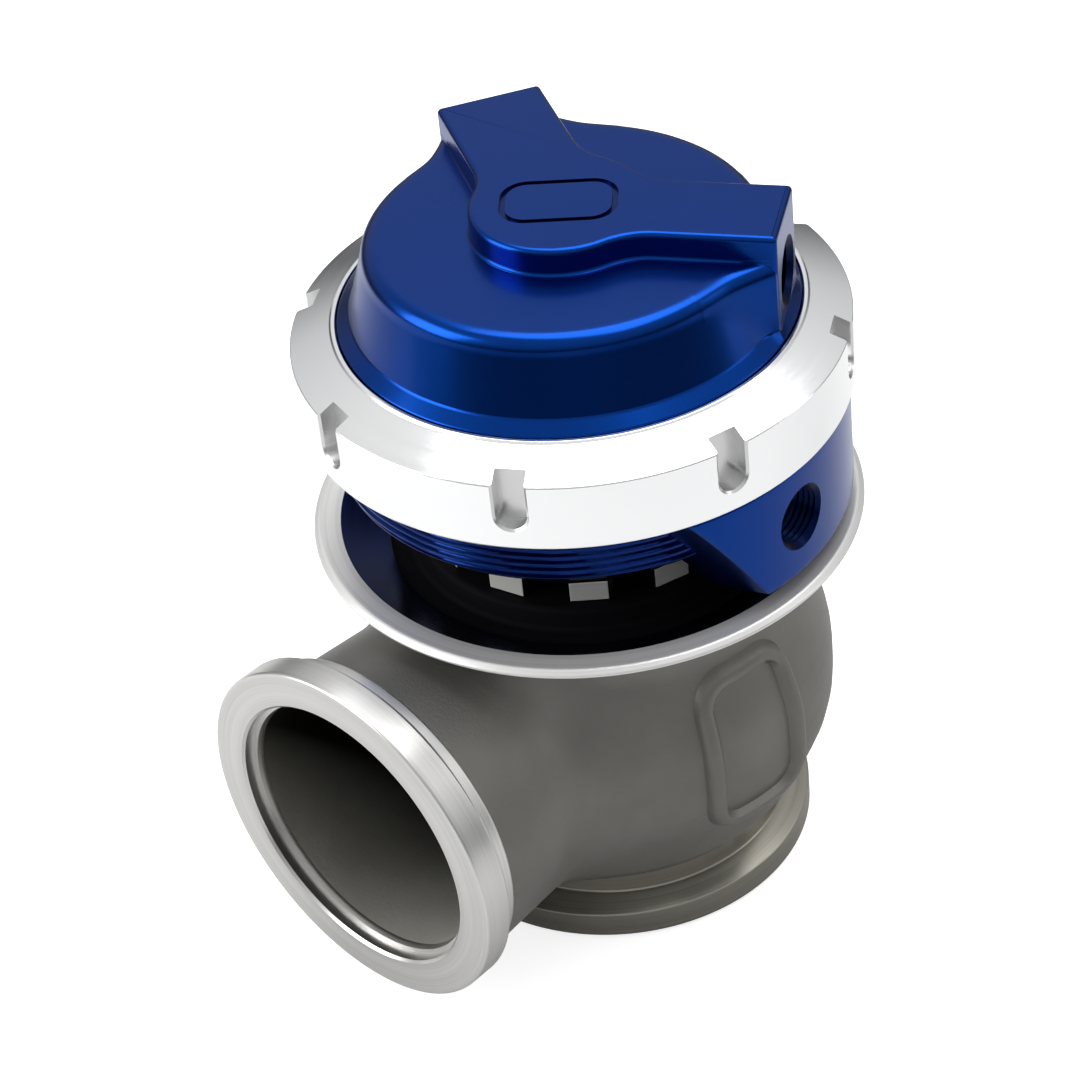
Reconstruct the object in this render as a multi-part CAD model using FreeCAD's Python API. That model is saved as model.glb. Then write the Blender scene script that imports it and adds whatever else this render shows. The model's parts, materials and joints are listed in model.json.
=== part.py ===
import FreeCAD, Part
import os
import math
from FreeCAD import Vector as V

os.makedirs("parts", exist_ok=True)

# Turbo wastegate, 40 mm class. Millimetres. The origin is the centre of the inlet flange face,
# +Z runs up the valve axis and the outlet points along -Y.

# ---- driving dimensions -------------------------------------------------------------------
valve_r = 20.34          # poppet head
stem_r = 4.0
lift = 10.5              # full stroke of the valve
run_fit = 0.04           # radial clearance of everything that slides on the stem

inlet_flange_r = 31.0
seat_bore_r = 19.0
neck_r = 27.4
bulb_r = 35.8
bulb_wall = 4.2

outlet_z = 34.0
outlet_y = 56.0
outlet_flange_r = 28.0
outlet_rim = 4.5
outlet_bore_r = 21.1
outlet_register_r = 22.1
outlet_register_deep = 2.2
tube_r = 23.6
tube_shift = (0.5, -0.8)   # the cast tube lies a little off the machined bore, across and down

dish_r = 41.5
dish_t = 1.3
dish_hub_top = 61.4
dish_hub_r = 26.0
dish_floor = 58.2
dish_floor_r = 29.7
dish_rim_z = 62.75

tab_count = 12
spacer_r = 25.0
spacer_top = 66.6
gasket_t = 0.8

base_foot = spacer_top + gasket_t
base_floor = 71.0
base_bore_r = 31.0
thread_r = 36.4
thread_bottom = 75.4
base_top = 90.5
block_r = 40.0
block_bottom = 65.3
block_top = 83.6
block_angle = 24.0
port_spread = 20.0
port_z = 74.7
port_r = 4.3

collar_r = 40.8
collar_bottom = 84.0
collar_shoulder = 94.7
collar_lip_r = 33.8
collar_top = 97.9
slot_count = 8
slot_phase = -15.0
slot_w = 4.5

cap_bottom = 91.5
cap_flange_r = 36.0
cap_deck = 110.5
cap_top = 114.6
arm_angles = (30.0, 150.0)
arm_sides = ((7.3, 7.0), (7.2, 8.8))     # half widths of each arm, clockwise side first
arm_reach = 32.2
lobe_rim_r = 28.4
lobe_spread = 36.0       # where the deck starts to run out to an arm, degrees from the arm
hub_r = 13.0
hub_blend = 10.0
cap_port_z = 104.6

cup_floor = 77.0
cup_r = 24.0
spring_top = 105.0
screw_circle = 21.0
screw_count = 6


# ---- helpers ------------------------------------------------------------------------------
def outline(corners, place):
    """Closed wire through (u, v) or (u, v, radius) corners.

    A radius of 1 mm or more becomes an arc, a smaller one an edge break with the same reach.
    """
    n = len(corners)
    cut = []
    for i, c in enumerate(corners):
        p = V(c[0], c[1], 0)
        r = c[2] if len(c) > 2 else 0.0
        a = V(corners[i - 1][0], corners[i - 1][1], 0) - p
        b = V(corners[(i + 1) % n][0], corners[(i + 1) % n][1], 0) - p
        if r <= 0:
            cut.append((p, None, p))
            continue
        a.normalize()
        b.normalize()
        half = a.getAngle(b) / 2
        reach = r / math.tan(half)
        mid = a + b
        mid.normalize()
        centre = p + mid * (r / math.sin(half))
        cut.append((p + a * reach, centre - mid * r, p + b * reach))
    edges = []
    for i in range(n):
        start, mid, end = cut[i]
        if mid is not None and corners[i][2] >= 1.0:
            edges.append(Part.Arc(place(start), place(mid), place(end)).toShape())
        elif mid is not None:
            edges.append(Part.makeLine(place(start), place(end)))
        nxt = cut[(i + 1) % n][0]
        if (nxt - end).Length > 1e-6:
            edges.append(Part.makeLine(place(end), place(nxt)))
    return Part.Wire(edges)


def turned(corners):
    """Solid of revolution about Z from (radius, z) corners."""
    face = Part.Face(outline(corners, lambda p: V(p.x, 0, p.y)))
    return face.revolve(V(0, 0, 0), V(0, 0, 1), 360)


def ring(r_in, r_out, z0, z1, edge=0.0):
    return turned([(r_in, z0), (r_out, z0, edge), (r_out, z1, edge), (r_in, z1)])


def polar(r, deg, z=0.0):
    a = math.radians(deg)
    return V(r * math.cos(a), r * math.sin(a), z)


def radial_hole(r, deg, z, r_from, r_to):
    return Part.makeCylinder(r, r_to - r_from, polar(r_from, deg, z), polar(1, deg))


def radial_port(deg, z, face_r, thread_deep, drill_r, inner_r):
    """Threaded port: a tapping-size bore, a chamfered mouth and a drilling to the chamber."""
    bore = radial_hole(port_r, deg, z, face_r - thread_deep, face_r + 2)
    drill = radial_hole(drill_r, deg, z, inner_r, face_r)
    mouth = Part.makeCone(port_r, port_r + 2.4, 2.4, polar(face_r - 0.9, deg, z), polar(1, deg))
    return bore.fuse([drill, mouth])


def save(name, shape):
    shape.exportStep("parts/%s.step" % name)


# ---- valve body: bulb, outlet tube, two V-band flanges, guide boss --------------------------
outer = turned([
    (0, 0), (inlet_flange_r, 0, 0.4), (inlet_flange_r, 4.4, 0.4), (neck_r, 6.1, 0.5),
    (neck_r, 9.2), (30.4, 10.2, 2.5), (bulb_r, 21.0, 24), (bulb_r, 36.0, 24),
    (31.2, 50.5, 14), (30.4, 56.85), (24.6, 56.85), (24.6, 60.05), (0, 60.05)])


def turned_y(corners):
    """Solid of revolution about the outlet axis from (radius, distance out) corners."""
    face = Part.Face(outline(corners, lambda p: V(p.x, -p.y, outlet_z)))
    return face.revolve(V(0, 0, outlet_z), V(0, 1, 0), 360)


tube = turned_y([(0, 10.0), (26.2, 10.0), (26.2, 20.0, 30), (tube_r, 38.0, 30), (tube_r, 49.6), (0, 49.6)])
tube.translate(V(tube_shift[0], 0, tube_shift[1]))
outlet_flange = turned_y([
    (0, 48.8), (24.7, 48.8), (24.7, 49.8), (outlet_flange_r, outlet_y - outlet_rim, 0.3),
    (outlet_flange_r, outlet_y, 0.5), (0, outlet_y)])
under_dish = turned([
    (0, 60.05), (24.6, 60.05), (24.6, 56.85), (30.0, 56.85), (37.6, 60.55), (45.0, 61.6),
    (45.0, 75.0), (0, 75.0)])
body = outer.fuse([tube, outlet_flange]).cut(under_dish)

wall_r = bulb_r - bulb_wall
cavity = turned([
    (0, 7.6), (23.4, 7.6), (23.4, 10.0), (27.0, 13.0, 3), (wall_r, 22.5, 18), (wall_r, 35.0, 18),
    (27.4, 52.6, 5), (13.0, 52.6, 3), (10.0, 40.0, 4), (9.4, 36.4), (0, 36.4)])
passage = turned_y([
    (0, 24.0), (outlet_bore_r, 24.0), (outlet_bore_r, outlet_y - outlet_register_deep),
    (outlet_register_r, outlet_y - outlet_register_deep), (outlet_register_r, outlet_y + 1),
    (0, outlet_y + 1)])
seat_register = turned([
    (0, -1), (25.05, -1), (25.05, 2.5), (22.65, 2.5), (22.65, 8.0), (0, 8.0)])
boss_keep = turned([(0, 36.4), (9.4, 36.4), (10.0, 40.0, 4), (13.0, 52.6), (0, 52.6)])
guide_hole = Part.makeCylinder(7.02, 40, V(0, 0, 30))
body = body.cut([cavity, passage.cut(boss_keep), seat_register, guide_hole])
screw_holes = []
for k in range(screw_count):
    at = polar(screw_circle, 15 + 60 * k, 54.8)
    screw_holes.append(Part.makeCylinder(2.55, 6, at))
body = body.cut(screw_holes)
save("valve_body", body)

# ---- seat, valve, guide ---------------------------------------------------------------------
seat = turned([
    (seat_bore_r, 0), (25.0, 0, 0.3), (25.0, 2.46, 0.3), (22.6, 2.46), (22.6, 7.5, 0.4),
    (21.0, 7.5), (seat_bore_r, 5.5)])
save("valve_seat", seat)

valve = turned([
    (0, 6.5), (12.0, 6.5, 3), (14.0, 5.9, 3), (valve_r - 1.0, 5.9), (valve_r, 6.9),
    (valve_r, 8.4, 0.5), (14.5, 10.2, 12), (stem_r, 15.5, 14), (stem_r, 74.0), (3.0, 74.0),
    (3.0, 86.2, 0.5), (0, 86.2)])
save("poppet_valve", valve)

save("valve_guide", turned([
    (stem_r + run_fit, 34.4, 0.6), (6.2, 34.4), (7.0, 36.0), (7.0, 57.4), (stem_r + run_fit, 57.4, 0.4)]))
save("scraper_ring", ring(stem_r + run_fit, 6.9, 57.6, 60.0, 0.3))

# ---- heat shield dish and the spacer ring it is clamped by ----------------------------------
d = dish_t
shield = turned([
    (5.2, dish_hub_top), (dish_hub_r, dish_hub_top, 1.2), (dish_hub_r + 1.0, dish_floor, 1.0),
    (dish_floor_r, dish_floor, 3.0), (37.5, 62.1, 2.0), (dish_r - 0.3, dish_rim_z, 0.4),
    (dish_r, dish_rim_z - 0.45, 0.2), (dish_r, dish_rim_z - d, 0.3), (37.7, 62.1 - d, 2.0),
    (dish_floor_r + 0.3, dish_floor - d, 3.0), (dish_hub_r - d + 0.7, dish_floor - d, 0.5),
    (dish_hub_r - d, dish_hub_top - d, 0.3), (5.2, dish_hub_top - d)])
holes = [Part.makeCylinder(2.75, 6, polar(screw_circle, 15 + 60 * k, 58.5)) for k in range(screw_count)]
save("heat_shield", shield.cut(holes))

spacer = turned([
    (17.0, dish_hub_top + 0.02), (spacer_r, dish_hub_top + 0.02, 0.3), (spacer_r, spacer_top, 0.3),
    (17.0, spacer_top)])
gap = 2 * spacer_r * math.sin(math.radians(7.6))
cuts = []
for k in range(tab_count):
    slot = Part.makeBox(12, gap, 3.6, V(15.5, -gap / 2, dish_hub_top - 0.3))
    slot.rotate(V(0, 0, 0), V(0, 0, 1), 30 * k)
    cuts.append(slot)
for k in range(screw_count):
    cuts.append(Part.makeCylinder(2.75, 9, polar(screw_circle, 15 + 60 * k, 60)))
save("spacer_ring", spacer.cut(cuts))

gasket = ring(15.0, 25.4, spacer_top + 0.02, base_foot - 0.02)
save("base_gasket", gasket.cut(
    [Part.makeCylinder(2.75, 4, polar(screw_circle, 15 + 60 * k, 65)) for k in range(screw_count)]))

# ---- actuator base: threaded cup with a port block on one side ------------------------------
base = turned([
    (7.5, 62.6), (11.0, 62.6, 0.6), (12.0, base_foot, 1.0), (25.6, base_foot, 0.8),
    (34.4, 73.6, 3.0), (thread_r, thread_bottom, 0.4), (thread_r, base_top, 0.5),
    (34.5, base_top), (34.5, base_top - 1.0), (32.9, base_top - 1.0), (32.9, base_top),
    (base_bore_r, base_top, 0.4), (base_bore_r, base_floor, 2.0), (9.6, base_floor),
    (9.6, base_floor - 0.8), (7.5, base_floor - 0.8)])
low, high = 20.6, 20.6 + (block_top - block_bottom) * 9.0 / 17.3
side = Part.Face(outline(
    [(-low, block_bottom), (low, block_bottom), (high, block_top), (-high, block_top)],
    lambda p: V(26.5, p.x, p.y)))
wedge = side.extrude(V(20, 0, 0))
wedge.rotate(V(0, 0, 0), V(0, 0, 1), block_angle)
shell = turned([
    (31.6, block_bottom + 4.4), (36.4, block_bottom, 1.0), (block_r, block_bottom, 0.6),
    (block_r, block_top, 0.5), (34.0, block_top), (31.6, block_top - 4)])
base = base.fuse(shell.common(wedge)).removeSplitter()
cuts = []
for s in (-1, 1):
    cuts.append(radial_port(block_angle + s * port_spread, port_z, block_r, 7.0, 3.4, base_bore_r - 1.5))
for k in range(screw_count):
    at = polar(screw_circle, 15 + 60 * k, 60)
    cuts.append(Part.makeCylinder(2.75, 14, at))
    head = polar(screw_circle, 15 + 60 * k, base_floor - 2.4)
    cuts.append(Part.makeCone(2.75, 5.2, 2.45, head))
base = base.cut(cuts)
save("actuator_base", base)

screws = []
for k in range(screw_count):
    x = polar(screw_circle, 15 + 60 * k)
    shank = Part.makeCylinder(2.5, 13.4, x + V(0, 0, 55.2))
    head = Part.makeCone(2.5, 4.9, 2.4, x + V(0, 0, base_floor - 2.45))
    one = shank.fuse(head)
    hexagon = Part.makePolygon([x + polar(1.73, 60 * j, base_floor - 1.9) for j in range(7)])
    screws.append(one.cut(Part.Face(hexagon).extrude(V(0, 0, 3))))
save("base_screws", Part.makeCompound(screws))

save("stem_bush", turned([
    (stem_r + run_fit, 62.7, 0.5), (7.47, 62.7, 0.4), (7.47, 68.4), (stem_r + run_fit, 68.4, 0.3)]))
save("stem_seal", ring(stem_r + run_fit, 7.45, 68.45, 70.15, 0.3))
save("seal_retainer", ring(5.0, 9.55, base_floor - 0.78, base_floor, 0.15))

# ---- moving stack on the stem ---------------------------------------------------------------
save("lower_retainer", turned([
    (3.05, 74.02), (17.5, 74.02, 0.5), (20.5, 75.2, 0.5), (20.5, 75.98), (3.05, 75.98)]))


def diaphragm_shape():
    """Rolling rubber diaphragm: flat crown, straight wall, half roll, clamped rim with a bead."""
    r_in, r_out, zc = 2.2, 3.2, 91.0
    rc = 27.3
    line = [(3.1, 76.0), (25.1 - 1.2, 76.0)]
    p = lambda r, z: V(r, 0, z)
    e = [Part.makeLine(p(*line[0]), p(*line[1])),
         Part.Arc(p(23.9, 76.0), p(25.1 - 0.351, 76.351), p(25.1, 77.2)).toShape(),
         Part.makeLine(p(25.1, 77.2), p(25.1, zc)),
         Part.Arc(p(25.1, zc), p(rc, zc + r_in), p(29.5, zc)).toShape(),
         Part.makeLine(p(29.5, zc), p(29.5, 90.52)),
         Part.makeLine(p(29.5, 90.52), p(33.0, 90.52)),
         Part.makeLine(p(33.0, 90.52), p(33.0, 89.6)),
         Part.makeLine(p(33.0, 89.6), p(34.4, 89.6)),
         Part.makeLine(p(34.4, 89.6), p(34.4, 91.48)),
         Part.makeLine(p(34.4, 91.48), p(30.5, 91.48)),
         Part.makeLine(p(30.5, 91.48), p(30.5, zc)),
         Part.Arc(p(30.5, zc), p(rc, zc + r_out), p(24.1, zc)).toShape(),
         Part.makeLine(p(24.1, zc), p(24.1, 76.98)),
         Part.makeLine(p(24.1, 76.98), p(3.1, 76.98)),
         Part.makeLine(p(3.1, 76.98), p(3.1, 76.0))]
    return Part.Face(Part.Wire(e)).revolve(V(0, 0, 0), V(0, 0, 1), 360)


save("diaphragm", diaphragm_shape())
save("spring_cup", turned([
    (3.05, cup_floor), (cup_r, cup_floor, 1.6), (cup_r, 88.0, 0.5), (cup_r - 1.2, 88.0, 0.5),
    (cup_r - 1.2, cup_floor + 1.6, 1.0), (3.05, cup_floor + 1.6)]))
save("stem_washer", ring(3.1, 7.0, cup_floor + 1.62, cup_floor + 3.2, 0.3))
nut_z = cup_floor + 3.22
flats = Part.Face(Part.makePolygon([polar(5.77, 60 * j, nut_z) for j in range(7)]))
nut = flats.extrude(V(0, 0, 5.0)).common(turned([
    (0, nut_z), (5.5, nut_z), (6.0, nut_z + 0.3), (6.0, nut_z + 4.5), (5.0, nut_z + 5.0), (0, nut_z + 5.0)]))
save("stem_nut", nut.cut(Part.makeCylinder(3.04, 8, V(0, 0, nut_z - 1))))


# ---- springs --------------------------------------------------------------------------------
def coil_spring(mean_r, wire_r, turns, z0, z1, phase):
    """Compression spring whose end coils close up flat, as mitred lengths of wire."""
    a, b = z0 + wire_r + 0.05, z1 - wire_r - 0.05
    dead = 0.75
    rise = 2 * wire_r * 1.02 * dead
    steps = int(turns * 16)
    points = []
    for i in range(steps + 1):
        t = turns * i / steps
        if t < dead:
            z = a + rise * t / dead
        elif t > turns - dead:
            z = b - rise * (turns - t) / dead
        else:
            z = a + rise + (b - a - 2 * rise) * (t - dead) / (turns - 2 * dead)
        points.append(polar(mean_r, phase + 360 * t, z))
    path = Part.makePolygon(points)
    section = Part.Wire(Part.makeCircle(wire_r, points[0], points[1] - points[0]))
    return path.makePipeShell([section], True, False, 1)


save("outer_spring", coil_spring(19.5, 1.7, 4.5, cup_floor + 1.62, spring_top, 40))
save("inner_spring", coil_spring(12.4, 1.2, 6.0, cup_floor + 1.62, spring_top, 200))
save("spring_seat", turned([
    (10.4, spring_top, 0.3), (14.1, spring_top, 0.3), (14.6, 102.6, 0.4), (16.6, 102.6, 0.4),
    (17.1, spring_top, 0.3), (23.4, spring_top, 0.4), (23.4, 106.2), (10.4, 106.2)]))


# ---- cap with its Y-shaped boss -------------------------------------------------------------
def on_arm(a, x, y, z):
    c, s = math.cos(math.radians(a)), math.sin(math.radians(a))
    return V(x * c - y * s, x * s + y * c, z)


def boss_outline(z):
    """Round hub with two arms, each arm blended into the hub by concave arcs."""
    def arm(a, halves):
        parts = []
        for side, half in zip((-1, 1), halves):
            across = half + hub_blend
            along = math.sqrt((hub_r + hub_blend) ** 2 - across ** 2)
            centre = on_arm(a, along, side * across, z)
            foot = on_arm(a, along, side * half, z)
            rim = polar(hub_r, a + side * math.degrees(math.atan2(across, along)), z)
            toward = (foot - centre) + (rim - centre)
            toward.normalize()
            parts.append((rim, centre + toward * hub_blend, foot, on_arm(a, arm_reach, side * half, z)))
        (rim, mid, foot, corner), (rim2, mid2, foot2, corner2) = parts
        line = [Part.Arc(rim, mid, foot).toShape(), Part.makeLine(foot, corner),
                Part.makeLine(corner, corner2), Part.makeLine(corner2, foot2),
                Part.Arc(foot2, mid2, rim2).toShape()]
        return rim, line, rim2

    right_in, right, right_out = arm(arm_angles[0], arm_sides[0])
    left_in, left, left_out = arm(arm_angles[1], arm_sides[1])
    return Part.Wire(right + [Part.Arc(right_out, polar(hub_r, 90, z), left_in).toShape()]
                     + left + [Part.Arc(left_out, polar(hub_r, -90, z), right_in).toShape()])


def lobe_outline(a, halves, z):
    """Deck outline running out to the end face of one arm in two shallow concave arcs."""
    arcs, rims = [], []
    for side, half in zip((-1, 1), halves):
        rim_dir = polar(1, a + side * lobe_spread)
        corner = on_arm(a, arm_reach, side * half, 0)
        lean = rim_dir.dot(corner)
        rho = (lobe_rim_r ** 2 - 2 * lobe_rim_r * lean + corner.Length ** 2) / (2 * (lean - lobe_rim_r))
        centre = rim_dir * (lobe_rim_r + rho)
        toward = (rim_dir * lobe_rim_r - centre) + (corner - centre)
        toward.normalize()
        up = V(0, 0, z)
        arcs.append((rim_dir * lobe_rim_r + up, centre + toward * rho + up, corner + up))
    (rim, mid, corner), (rim2, mid2, corner2) = arcs
    return Part.Wire([
        Part.Arc(rim, mid, corner).toShape(), Part.makeLine(corner, corner2),
        Part.Arc(corner2, mid2, rim2).toShape(), Part.makeLine(rim2, V(0, 0, z)),
        Part.makeLine(V(0, 0, z), rim)])


boss = Part.Face(boss_outline(collar_top + 0.1)).extrude(V(0, 0, cap_top - collar_top - 0.1))
ends = [e for e in boss.Edges if len(e.Vertexes) == 2
        and abs(e.Vertexes[0].Z - e.Vertexes[1].Z) > 5
        and math.hypot(e.Vertexes[0].X, e.Vertexes[0].Y) > arm_reach]
boss = boss.makeChamfer(0.7, ends)
top_edges = [e for e in boss.Edges if all(abs(v.Z - cap_top) < 1e-4 for v in e.Vertexes)]
boss = boss.makeChamfer(0.6, top_edges)

lobes = []
for a, halves in zip(arm_angles, arm_sides):
    face = Part.Face(lobe_outline(a, halves, 100.0))
    lobe = face.extrude(V(0, 0, cap_deck - 0.01 - 100.0))
    rims = [e for e in lobe.Edges if abs(e.CenterOfMass.z - cap_deck) < 0.1
            and math.hypot(e.CenterOfMass.x, e.CenterOfMass.y) > 27 and e.Curve.TypeId != "Part::GeomLine"]
    lobes.append(lobe.makeChamfer(1.2, rims))

cap = turned([
    (0, cap_bottom + 0.02), (cap_flange_r, cap_bottom + 0.02, 0.4), (cap_flange_r, 94.4, 0.3),
    (33.55, 94.4), (33.55, collar_top, 0.3), (31.6, 99.4, 3.0), (28.9, cap_deck, 2.5), (0, cap_deck)])
cap = cap.fuse([boss] + lobes)
hollow = turned([
    (0, cap_bottom - 1), (30.6, cap_bottom - 1), (30.6, 94.5, 3), (28.2, 98.5, 6),
    (25.6, 106.25, 1.5), (0, 106.25)])
cuts = [hollow]
for a in arm_angles:
    cuts.append(radial_port(a, cap_port_z, arm_reach, 6.4, 2.6, 22.0))
cap = cap.cut(cuts)
save("actuator_cap", cap)

# ---- locking collar -------------------------------------------------------------------------
collar = turned([
    (thread_r + 0.06, collar_bottom + 0.5), (thread_r + 0.56, collar_bottom), (collar_r, collar_bottom, 0.5),
    (collar_r, collar_shoulder, 0.15), (34.7, 97.55, 0.2), (34.3, collar_top, 0.2),
    (collar_lip_r, collar_top, 0.2), (collar_lip_r, 94.9), (36.9, 94.9), (36.9, base_top - 0.2),
    (thread_r + 0.06, base_top - 0.2)])
cuts = []
for k in range(slot_count):
    half = slot_w / 2
    foot = collar_bottom + 3.4 + half
    drill = Part.makeCylinder(half, 8, V(38.2, 0, foot), V(1, 0, 0))
    mill = Part.makeBox(8, slot_w, 20, V(38.2, -half, foot))
    one = drill.fuse(mill)
    one.rotate(V(0, 0, 0), V(0, 0, 1), slot_phase + 360.0 / slot_count * k)
    cuts.append(one)
save("lock_collar", collar.cut(cuts))
save("slip_ring", ring(34.2, 35.9, 94.43, 94.87))
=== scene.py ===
# %% [markdown]
# # A turbo wastegate of the 40 mm class
# An external wastegate bleeds exhaust past a turbocharger. Gas enters the cast stainless body from
# below, a spring holds a poppet valve on its seat, and boost under a rubber diaphragm lifts it. The
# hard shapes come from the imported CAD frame. This lesson dresses them: turned, anodised, polished and
# cast surfaces, each built where the frame says it is.

# %% Load the frame
import json
import math

import bmesh
import bpy
import numpy as np
from mathutils import Matrix, Vector

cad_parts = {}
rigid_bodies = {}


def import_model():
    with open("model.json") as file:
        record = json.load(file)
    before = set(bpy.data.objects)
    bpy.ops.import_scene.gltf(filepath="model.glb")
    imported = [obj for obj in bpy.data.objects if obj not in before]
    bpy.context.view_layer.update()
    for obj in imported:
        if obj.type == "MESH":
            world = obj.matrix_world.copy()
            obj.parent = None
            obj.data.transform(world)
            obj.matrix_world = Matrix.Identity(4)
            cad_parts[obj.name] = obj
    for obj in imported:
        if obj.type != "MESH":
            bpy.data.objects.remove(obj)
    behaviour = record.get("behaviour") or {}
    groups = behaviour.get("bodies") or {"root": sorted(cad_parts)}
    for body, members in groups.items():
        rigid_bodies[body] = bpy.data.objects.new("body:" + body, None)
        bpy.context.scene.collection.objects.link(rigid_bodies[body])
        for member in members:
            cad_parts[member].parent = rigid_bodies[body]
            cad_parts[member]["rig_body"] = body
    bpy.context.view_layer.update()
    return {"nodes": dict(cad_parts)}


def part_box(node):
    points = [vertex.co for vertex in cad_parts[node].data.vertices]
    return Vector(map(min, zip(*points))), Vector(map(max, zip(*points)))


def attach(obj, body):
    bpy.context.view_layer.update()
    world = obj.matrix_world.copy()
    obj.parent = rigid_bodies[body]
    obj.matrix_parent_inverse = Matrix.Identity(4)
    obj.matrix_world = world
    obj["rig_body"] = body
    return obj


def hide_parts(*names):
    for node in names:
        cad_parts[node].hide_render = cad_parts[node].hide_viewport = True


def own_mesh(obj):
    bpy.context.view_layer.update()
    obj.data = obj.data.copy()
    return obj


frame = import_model()
MM = 0.001

# %% [markdown]
# ## Sizes
# Every size below is in millimetres in the frame's own axes: the origin is the centre of the inlet
# face, +Z runs up the valve and the outlet points along -Y. The top of the cap is read from its CAD
# node. The lathe outlines further down hold the rest.

# %% Driving sizes
outlet_z = 34.0
cap_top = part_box("actuator_cap")[1][2] / MM
print("cap top %.1f mm, outlet axis %.1f mm up" % (cap_top, outlet_z))

# %% [markdown]
# ## Helpers for turned work
# Most of this object came off a lathe. A turned piece is one closed outline swept round the axis, so
# one helper rounds an outline's corners and a second sweeps it. Small rounded corners matter more than
# anything else here, because they catch the light as a real broken edge does.

# %% Rounded outlines
def rounded(corners, step=15.0):
    """Points along a closed outline of (u, v) or (u, v, radius) corners."""
    points, n = [], len(corners)
    for i, corner in enumerate(corners):
        p = Vector(corner[:2])
        radius = corner[2] if len(corner) > 2 else 0.0
        if radius <= 0:
            points.append(p)
            continue
        a = (Vector(corners[i - 1][:2]) - p).normalized()
        b = (Vector(corners[(i + 1) % n][:2]) - p).normalized()
        half = a.angle(b) / 2
        start = p + a * (radius / math.tan(half))
        centre = p + (a + b).normalized() * (radius / math.sin(half))
        spoke = start - centre
        turn = spoke.angle(p + b * (radius / math.tan(half)) - centre)
        side = 1 if spoke.cross(p - start) > 0 else -1
        count = max(3, int(math.degrees(turn) / step) + 1)
        for k in range(count + 1):
            t = side * turn * k / count
            c, s = math.cos(t), math.sin(t)
            points.append(centre + Vector((spoke.x * c - spoke.y * s, spoke.x * s + spoke.y * c)))
    return np.array([[p.x, p.y] for p in points])


def rounded_rectangle(wide, tall, corner):
    w, h = wide / 2, tall / 2
    return rounded([(-w, -h, corner), (w, -h, corner), (w, h, corner), (-w, h, corner)], step=6.0)


def piece(name, verts, faces, finishes):
    """A named mesh, in millimetres, with one finish or a list of them."""
    mesh = bpy.data.meshes.new(name)
    mesh.from_pydata([tuple(v) for v in np.asarray(verts) * MM], [], [tuple(f) for f in faces])
    for finish in finishes if isinstance(finishes, list) else [finishes]:
        mesh.materials.append(finish)
    bm = bmesh.new()
    bm.from_mesh(mesh)
    bmesh.ops.remove_doubles(bm, verts=bm.verts, dist=1e-7)
    bmesh.ops.dissolve_degenerate(bm, edges=bm.edges, dist=1e-8)
    bmesh.ops.recalc_face_normals(bm, faces=bm.faces)
    bmesh.ops.triangulate(bm, faces=[f for f in bm.faces if len(f.verts) > 4])
    bm.to_mesh(mesh)
    bm.free()
    mesh.polygons.foreach_set("use_smooth", [True] * len(mesh.polygons))
    obj = bpy.data.objects.new(name, mesh)
    bpy.context.scene.collection.objects.link(obj)
    return obj


def baked(obj):
    """Turns obj's modifiers into its plain mesh."""
    deps = bpy.context.evaluated_depsgraph_get()
    mesh = bpy.data.meshes.new_from_object(obj.evaluated_get(deps), depsgraph=deps)
    obj.modifiers.clear()
    obj.data = mesh
    return obj


print("a filleted square has", len(rounded([(0, 0, 1), (5, 0, 1), (5, 5, 1), (0, 5, 1)])), "points")

# %% Turning on the valve axis and on the outlet axis
def ring_faces(rows, columns):
    """Quads of a grid that closes on itself both ways."""
    i, j = np.meshgrid(np.arange(rows), np.arange(columns), indexing="ij")
    i2, j2 = (i + 1) % rows, (j + 1) % columns
    quads = np.stack([i * columns + j, i2 * columns + j, i2 * columns + j2, i * columns + j2], axis=-1)
    return quads.reshape(-1, 4)


def full_circle(segments):
    """Angles round a circle, as a column."""
    return np.linspace(0, 2 * np.pi, segments, endpoint=False)[:, None]


def spun(name, turn, r, z, finish, closed=True):
    """Sweeps an outline round the valve axis; its radii may change with the angle."""
    r, z = r + 0 * turn, z + 0 * turn
    faces = ring_faces(*r.shape)
    if not closed:
        faces = faces.reshape(*r.shape, 4)[:, :-1].reshape(-1, 4)
    grid = np.stack([r * np.cos(turn), r * np.sin(turn), z], axis=-1)
    return piece(name, grid.reshape(-1, 3), faces, finish)


def turned(name, corners, finish, segments=240, outlet=False):
    """Sweeps an outline of (radius, height) corners round the valve axis, or round the outlet's."""
    turn = full_circle(segments)
    r, h = rounded(corners).T[:, None, :]
    if not outlet:
        return spun(name, turn, r, h, finish)
    grid = np.stack([r * np.cos(turn), -h + 0 * turn, outlet_z + r * np.sin(turn)], axis=-1)
    return piece(name, grid.reshape(-1, 3), ring_faces(segments, r.shape[1]), finish)


def lofted(name, loops, finish):
    """A skin over a row of loops with the same number of points, and a lid at each end."""
    rows, count = len(loops), len(loops[0])
    skin = ring_faces(rows, count)[:-count].tolist()
    lids = [list(range(count)), list(range((rows - 1) * count, rows * count))]
    return piece(name, np.reshape(loops, (-1, 3)), skin + lids, finish)


print("quads in a 4 by 3 ring:", len(ring_faces(4, 3)))

# %% [markdown]
# ## Camera
# A long lens some half a metre away looks down on the outlet side, rolled a few degrees. The camera
# is placed by its own axes: back points from the object to the lens, right and up follow from it.

# %% Place the camera
azimuth, elevation, roll = math.radians(46.48), math.radians(37.92), math.radians(-6.38)
target, distance_m, lens_mm = Vector((-0.01146, 0.0, 0.04828)), 0.51233, 110.126667

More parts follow.
